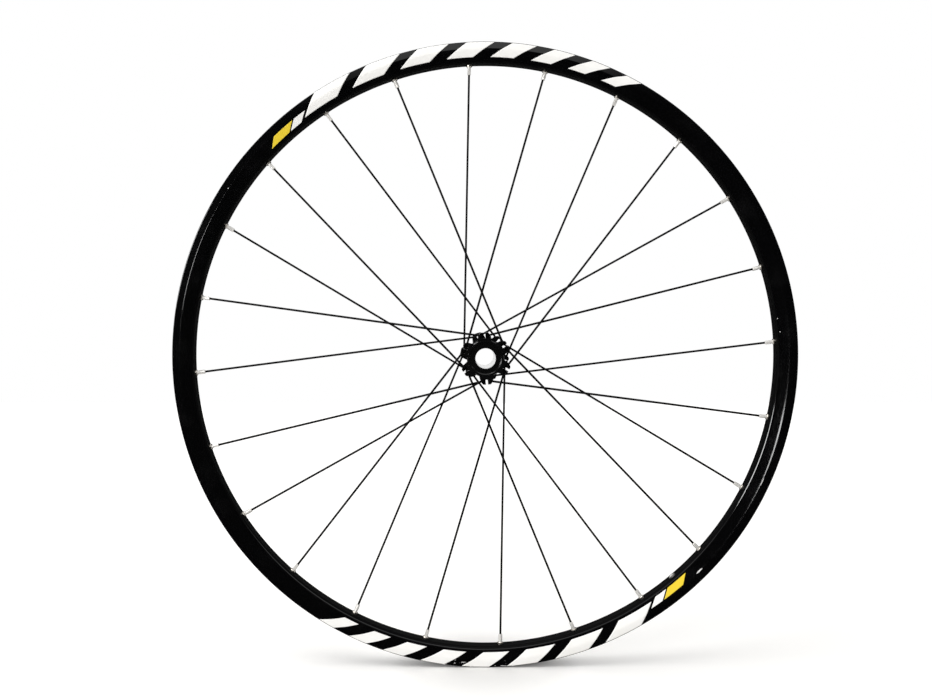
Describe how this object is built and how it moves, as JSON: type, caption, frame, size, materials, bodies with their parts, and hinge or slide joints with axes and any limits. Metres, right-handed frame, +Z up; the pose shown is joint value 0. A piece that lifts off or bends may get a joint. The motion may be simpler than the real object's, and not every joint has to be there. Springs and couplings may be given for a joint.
{
  "type": "bicycle wheel",
  "caption": "Bicycle front wheel for a disc brake: hollow black rim, black straight-pull spokes with pale nipples, and a claw hub turning on sealed bearings round an open axle bore.",
  "frame": {"origin": "on the axle, in the middle plane of the rim", "axes": "+Y along the axle towards the brake rotor's side, +Z up; the pictured side faces -Y"},
  "size_m": [0.6339, 0.079, 0.634],
  "materials": {
    "rim_black": "gloss",
    "spoke_black": "satin",
    "nipple_silver": "satin",
    "hub_black": "satin",
    "sleeve_silver": "polished",
    "bearing_steel": "polished",
    "cap_black": "matte"
  },
  "bodies": {
    "axle": {"axle_sleeve": "sleeve_silver", "inner_race_right": "bearing_steel", "inner_race_left": "bearing_steel"},
    "wheel": {"rim": "rim_black", "spoke_01": "spoke_black", "spoke_02": "spoke_black", "spoke_03": "spoke_black", "spoke_04": "spoke_black", "spoke_05": "spoke_black", "spoke_06": "spoke_black", "spoke_07": "spoke_black", "spoke_08": "spoke_black", "spoke_09": "spoke_black", "spoke_10": "spoke_black", "spoke_11": "spoke_black", "spoke_12": "spoke_black", "spoke_13": "spoke_black", "spoke_14": "spoke_black", "spoke_15": "spoke_black", "spoke_16": "spoke_black", "spoke_17": "spoke_black", "spoke_18": "spoke_black", "spoke_19": "spoke_black", "spoke_20": "spoke_black", "spoke_21": "spoke_black", "spoke_22": "spoke_black", "spoke_23": "spoke_black", "spoke_24": "spoke_black", "nipples": "nipple_silver", "nipple_inserts": "nipple_silver", "hub_shell": "hub_black", "outer_race_right": "bearing_steel", "bearing_balls_right": "bearing_steel", "dust_cap_right": "cap_black", "outer_race_left": "bearing_steel", "bearing_balls_left": "bearing_steel", "dust_cap_left": "cap_black"}
  },
  "joints": [
    {"name": "wheel_spin", "type": "hinge", "parent": "axle", "child": "wheel", "pos_m": [0, 0, 0], "axis": [0, 1, 0], "continuous": true}
  ]
}
